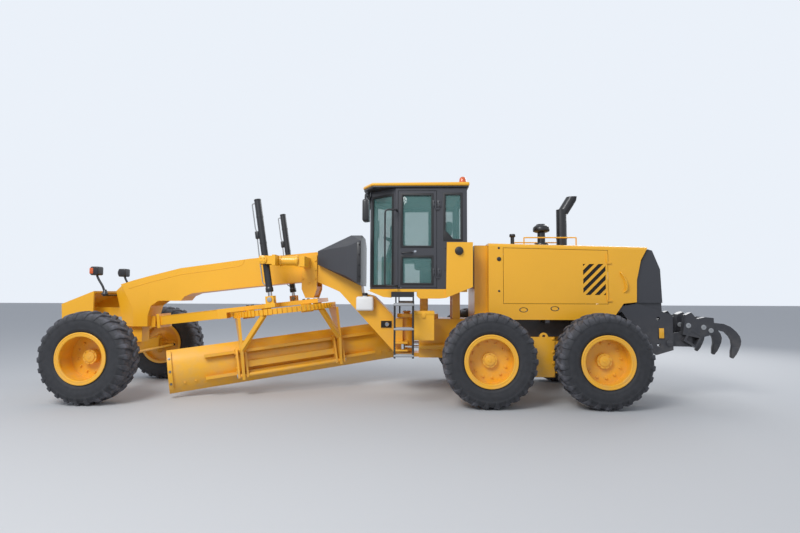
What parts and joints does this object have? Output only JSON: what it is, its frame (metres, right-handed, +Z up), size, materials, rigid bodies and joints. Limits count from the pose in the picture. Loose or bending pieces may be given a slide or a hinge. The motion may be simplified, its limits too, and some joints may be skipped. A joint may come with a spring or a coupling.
{
  "type": "motor grader",
  "caption": "Articulated six-wheel motor grader with a turning circle and blade under an arched front frame, a glazed cab and a rear ripper.",
  "frame": {"origin": "on the ground under the middle of the whole machine's box", "axes": "+X to the front of the machine, +Y to its left side, +Z up"},
  "size_m": [10.191, 2.599, 3.269],
  "materials": {
    "yellow_paint": "gloss",
    "dark_paint": "satin",
    "black_paint": "satin",
    "ladder_steel": "satin",
    "chrome_rod": "polished",
    "tyre_rubber": "matte",
    "cab_glass": "polished",
    "cab_trim": "matte",
    "engine_iron": "matte"
  },
  "bodies": {
    "rear_half": {"hinge_frame": "yellow_paint", "rear_frame": "dark_paint", "tandem_axle": "yellow_paint", "hood": "yellow_paint", "rear_grille": "dark_paint", "engine_block": "engine_iron", "cab_base": "yellow_paint", "cab_shell": "dark_paint", "cab_roof": "yellow_paint", "cab_glass": "cab_glass", "cab_fittings": "black_paint", "cab_interior": "cab_trim", "ladders": "ladder_steel", "tool_box": "yellow_paint", "engine_stacks": "black_paint", "ripper_bracket": "dark_paint"},
    "front_half": {"front_beam": "yellow_paint", "front_leg": "yellow_paint", "ball_socket": "yellow_paint", "front_nose": "yellow_paint", "front_neck": "yellow_paint", "battery_cover": "dark_paint", "lift_saddle": "yellow_paint", "front_lamps": "black_paint", "front_axle": "yellow_paint"},
    "tie_rod": {"tie_rod": "yellow_paint"},
    "drawbar": {"drawbar": "yellow_paint"},
    "circle": {"circle_ring": "yellow_paint"},
    "blade_carrier": {"blade_carrier": "yellow_paint"},
    "blade": {"blade": "yellow_paint"},
    "ripper": {"ripper_arm": "dark_paint"},
    "ripper_barrel": {"ripper_barrel": "dark_paint"},
    "ripper_rod": {"ripper_rod": "chrome_rod"},
    "knuckle_left": {"knuckle_left": "yellow_paint"},
    "artic_barrel_left": {"artic_barrel_left": "yellow_paint"},
    "artic_rod_left": {"artic_rod_left": "chrome_rod"},
    "lift_barrel_left": {"lift_barrel_left": "black_paint"},
    "lift_rod_left": {"lift_rod_left": "chrome_rod"},
    "cab_door_left": {"cab_door_left": "dark_paint"},
    "hood_door_left": {"hood_door_left": "yellow_paint"},
    "wheel_front_left": {"tyre_front_left": "tyre_rubber", "rim_front_left": "yellow_paint"},
    "wheel_mid_left": {"tyre_mid_left": "tyre_rubber", "rim_mid_left": "yellow_paint"},
    "wheel_rear_left": {"tyre_rear_left": "tyre_rubber", "rim_rear_left": "yellow_paint"},
    "knuckle_right": {"knuckle_right": "yellow_paint"},
    "artic_barrel_right": {"artic_barrel_right": "yellow_paint"},
    "artic_rod_right": {"artic_rod_right": "chrome_rod"},
    "lift_barrel_right": {"lift_barrel_right": "black_paint"},
    "lift_rod_right": {"lift_rod_right": "chrome_rod"},
    "cab_door_right": {"cab_door_right": "dark_paint"},
    "hood_door_right": {"hood_door_right": "yellow_paint"},
    "wheel_front_right": {"tyre_front_right": "tyre_rubber", "rim_front_right": "yellow_paint"},
    "wheel_mid_right": {"tyre_mid_right": "tyre_rubber", "rim_mid_right": "yellow_paint"},
    "wheel_rear_right": {"tyre_rear_right": "tyre_rubber", "rim_rear_right": "yellow_paint"}
  },
  "joints": [
    {"name": "articulate", "type": "hinge", "parent": "rear_half", "child": "front_half", "pos_m": [-0.2125, 0, 0.89], "axis": [0, 0, -1], "range_deg": [-25, 25]},
    {"name": "artic_swing_left", "type": "hinge", "parent": "rear_half", "child": "artic_barrel_left", "pos_m": [-0.8625, 0.33, 0.735], "axis": [0, 0, 1], "range_deg": [-1.78, 1.78]},
    {"name": "artic_extend_left", "type": "slide", "parent": "artic_barrel_left", "child": "artic_rod_left", "axis": [1, 0, 0], "range_m": [-0.1422, 0.1422]},
    {"name": "artic_swing_right", "type": "hinge", "parent": "rear_half", "child": "artic_barrel_right", "pos_m": [-0.8625, -0.33, 0.735], "axis": [0, 0, 1], "range_deg": [-1.78, 1.78]},
    {"name": "artic_extend_right", "type": "slide", "parent": "artic_barrel_right", "child": "artic_rod_right", "axis": [1, 0, 0], "range_m": [-0.1422, 0.1422]},
    {"name": "steer_left", "type": "hinge", "parent": "front_half", "child": "knuckle_left", "pos_m": [4.1825, 0.83, 0.64], "axis": [0, 0, 1], "range_deg": [-42, 42]},
    {"name": "steer_right", "type": "hinge", "parent": "front_half", "child": "knuckle_right", "pos_m": [4.1825, -0.83, 0.64], "axis": [0, 0, 1], "range_deg": [-42, 42]},
    {"name": "tie_rod_pivot", "type": "hinge", "parent": "knuckle_left", "child": "tie_rod", "pos_m": [3.9325, 0.83, 0.62], "axis": [0, 0, 1], "range_deg": [-42, 42]},
    {"name": "roll_front_left", "type": "hinge", "parent": "knuckle_left", "child": "wheel_front_left", "pos_m": [4.1825, 1.077, 0.64], "axis": [0, 1, 0], "continuous": true},
    {"name": "roll_mid_left", "type": "hinge", "parent": "rear_half", "child": "wheel_mid_left", "pos_m": [-1.3525, 1.077, 0.64], "axis": [0, 1, 0], "continuous": true},
    {"name": "roll_rear_left", "type": "hinge", "parent": "rear_half", "child": "wheel_rear_left", "pos_m": [-2.8825, 1.077, 0.64], "axis": [0, 1, 0], "continuous": true},
    {"name": "cab_door_swing_left", "type": "hinge", "parent": "rear_half", "child": "cab_door_left", "pos_m": [-0.6415, 0.768, 2.3], "axis": [0, 0, 1], "range_deg": [0, 80]},
    {"name": "hood_door_swing_left", "type": "hinge", "parent": "rear_half", "child": "hood_door_left", "pos_m": [-3.1365, 0.608, 1.8], "axis": [0, 0, 1], "range_deg": [0, 90]},
    {"name": "roll_front_right", "type": "hinge", "parent": "knuckle_right", "child": "wheel_front_right", "pos_m": [4.1825, -1.077, 0.64], "axis": [0, 1, 0], "continuous": true},
    {"name": "roll_mid_right", "type": "hinge", "parent": "rear_half", "child": "wheel_mid_right", "pos_m": [-1.3525, -1.077, 0.64], "axis": [0, 1, 0], "continuous": true},
    {"name": "roll_rear_right", "type": "hinge", "parent": "rear_half", "child": "wheel_rear_right", "pos_m": [-2.8825, -1.077, 0.64], "axis": [0, 1, 0], "continuous": true},
    {"name": "cab_door_swing_right", "type": "hinge", "parent": "rear_half", "child": "cab_door_right", "pos_m": [-0.6415, -0.768, 2.3], "axis": [0, 0, -1], "range_deg": [0, 80]},
    {"name": "hood_door_swing_right", "type": "hinge", "parent": "rear_half", "child": "hood_door_right", "pos_m": [-3.1365, -0.608, 1.8], "axis": [0, 0, -1], "range_deg": [0, 90]},
    {"name": "drawbar_lift", "type": "hinge", "parent": "front_half", "child": "drawbar", "pos_m": [3.8375, 0, 1.075], "axis": [0, -1, 0], "range_deg": [0, 12]},
    {"name": "lift_swing_left", "type": "hinge", "parent": "front_half", "child": "lift_barrel_left", "pos_m": [1.8475, 0.707, 2.015], "axis": [0, 1, 0], "range_deg": [-2.07, 2.07]},
    {"name": "lift_extend_left", "type": "slide", "parent": "lift_barrel_left", "child": "lift_rod_left", "axis": [-0.1498, 0, -0.9887], "range_m": [-0.002, 0.4423]},
    {"name": "lift_swing_right", "type": "hinge", "parent": "front_half", "child": "lift_barrel_right", "pos_m": [1.8475, -0.707, 2.015], "axis": [0, 1, 0], "range_deg": [-2.07, 2.07]},
    {"name": "lift_extend_right", "type": "slide", "parent": "lift_barrel_right", "child": "lift_rod_right", "axis": [-0.1498, 0, -0.9887], "range_m": [-0.002, 0.4423]},
    {"name": "circle_turn", "type": "hinge", "parent": "drawbar", "child": "circle", "pos_m": [1.72603, 0, 1.27028], "axis": [0.1132, 0, 0.9936], "range_deg": [0, 130]},
    {"name": "blade_tip", "type": "hinge", "parent": "circle", "child": "blade_carrier", "pos_m": [1.53387, 0.19486, 0.38635], "axis": [0.9005, 0.4226, -0.1026], "range_deg": [-12, 12]},
    {"name": "blade_shift", "type": "slide", "parent": "blade_carrier", "child": "blade", "axis": [0.9005, 0.4226, -0.1026], "range_m": [-0.45, 0.3]},
    {"name": "ripper_lift", "type": "hinge", "parent": "rear_half", "child": "ripper", "pos_m": [-4.0175, 0, 0.83], "axis": [0, -1, 0], "range_deg": [0, 28]},
    {"name": "ripper_swing", "type": "hinge", "parent": "rear_half", "child": "ripper_barrel", "pos_m": [-3.9875, 0, 1.1], "axis": [0, 1, 0], "range_deg": [-24.73, 24.73]},
    {"name": "ripper_extend", "type": "slide", "parent": "ripper_barrel", "child": "ripper_rod", "axis": [-0.9956, 0, 0.0933], "range_m": [-0.002, 0.1313]}
  ],
  "couplings": [
    {"joint": "artic_swing_left", "follows": "articulate", "ratio": -0.05116},
    {"joint": "artic_extend_left", "follows": "articulate", "m_per_rad": 0.32131},
    {"joint": "artic_swing_right", "follows": "articulate", "ratio": -0.05116},
    {"joint": "artic_extend_right", "follows": "articulate", "m_per_rad": -0.32131},
    {"joint": "steer_right", "follows": "steer_left", "ratio": 1},
    {"joint": "tie_rod_pivot", "follows": "steer_left", "ratio": -1},
    {"joint": "lift_swing_left", "follows": "drawbar_lift", "ratio": -0.1312},
    {"joint": "lift_extend_left", "follows": "drawbar_lift", "m_per_rad": 2.1024},
    {"joint": "lift_swing_right", "follows": "drawbar_lift", "ratio": -0.1312},
    {"joint": "lift_extend_right", "follows": "drawbar_lift", "m_per_rad": 2.1024},
    {"joint": "ripper_swing", "follows": "ripper_lift", "ratio": -0.8653},
    {"joint": "ripper_extend", "follows": "ripper_lift", "m_per_rad": 0.2646}
  ]
}
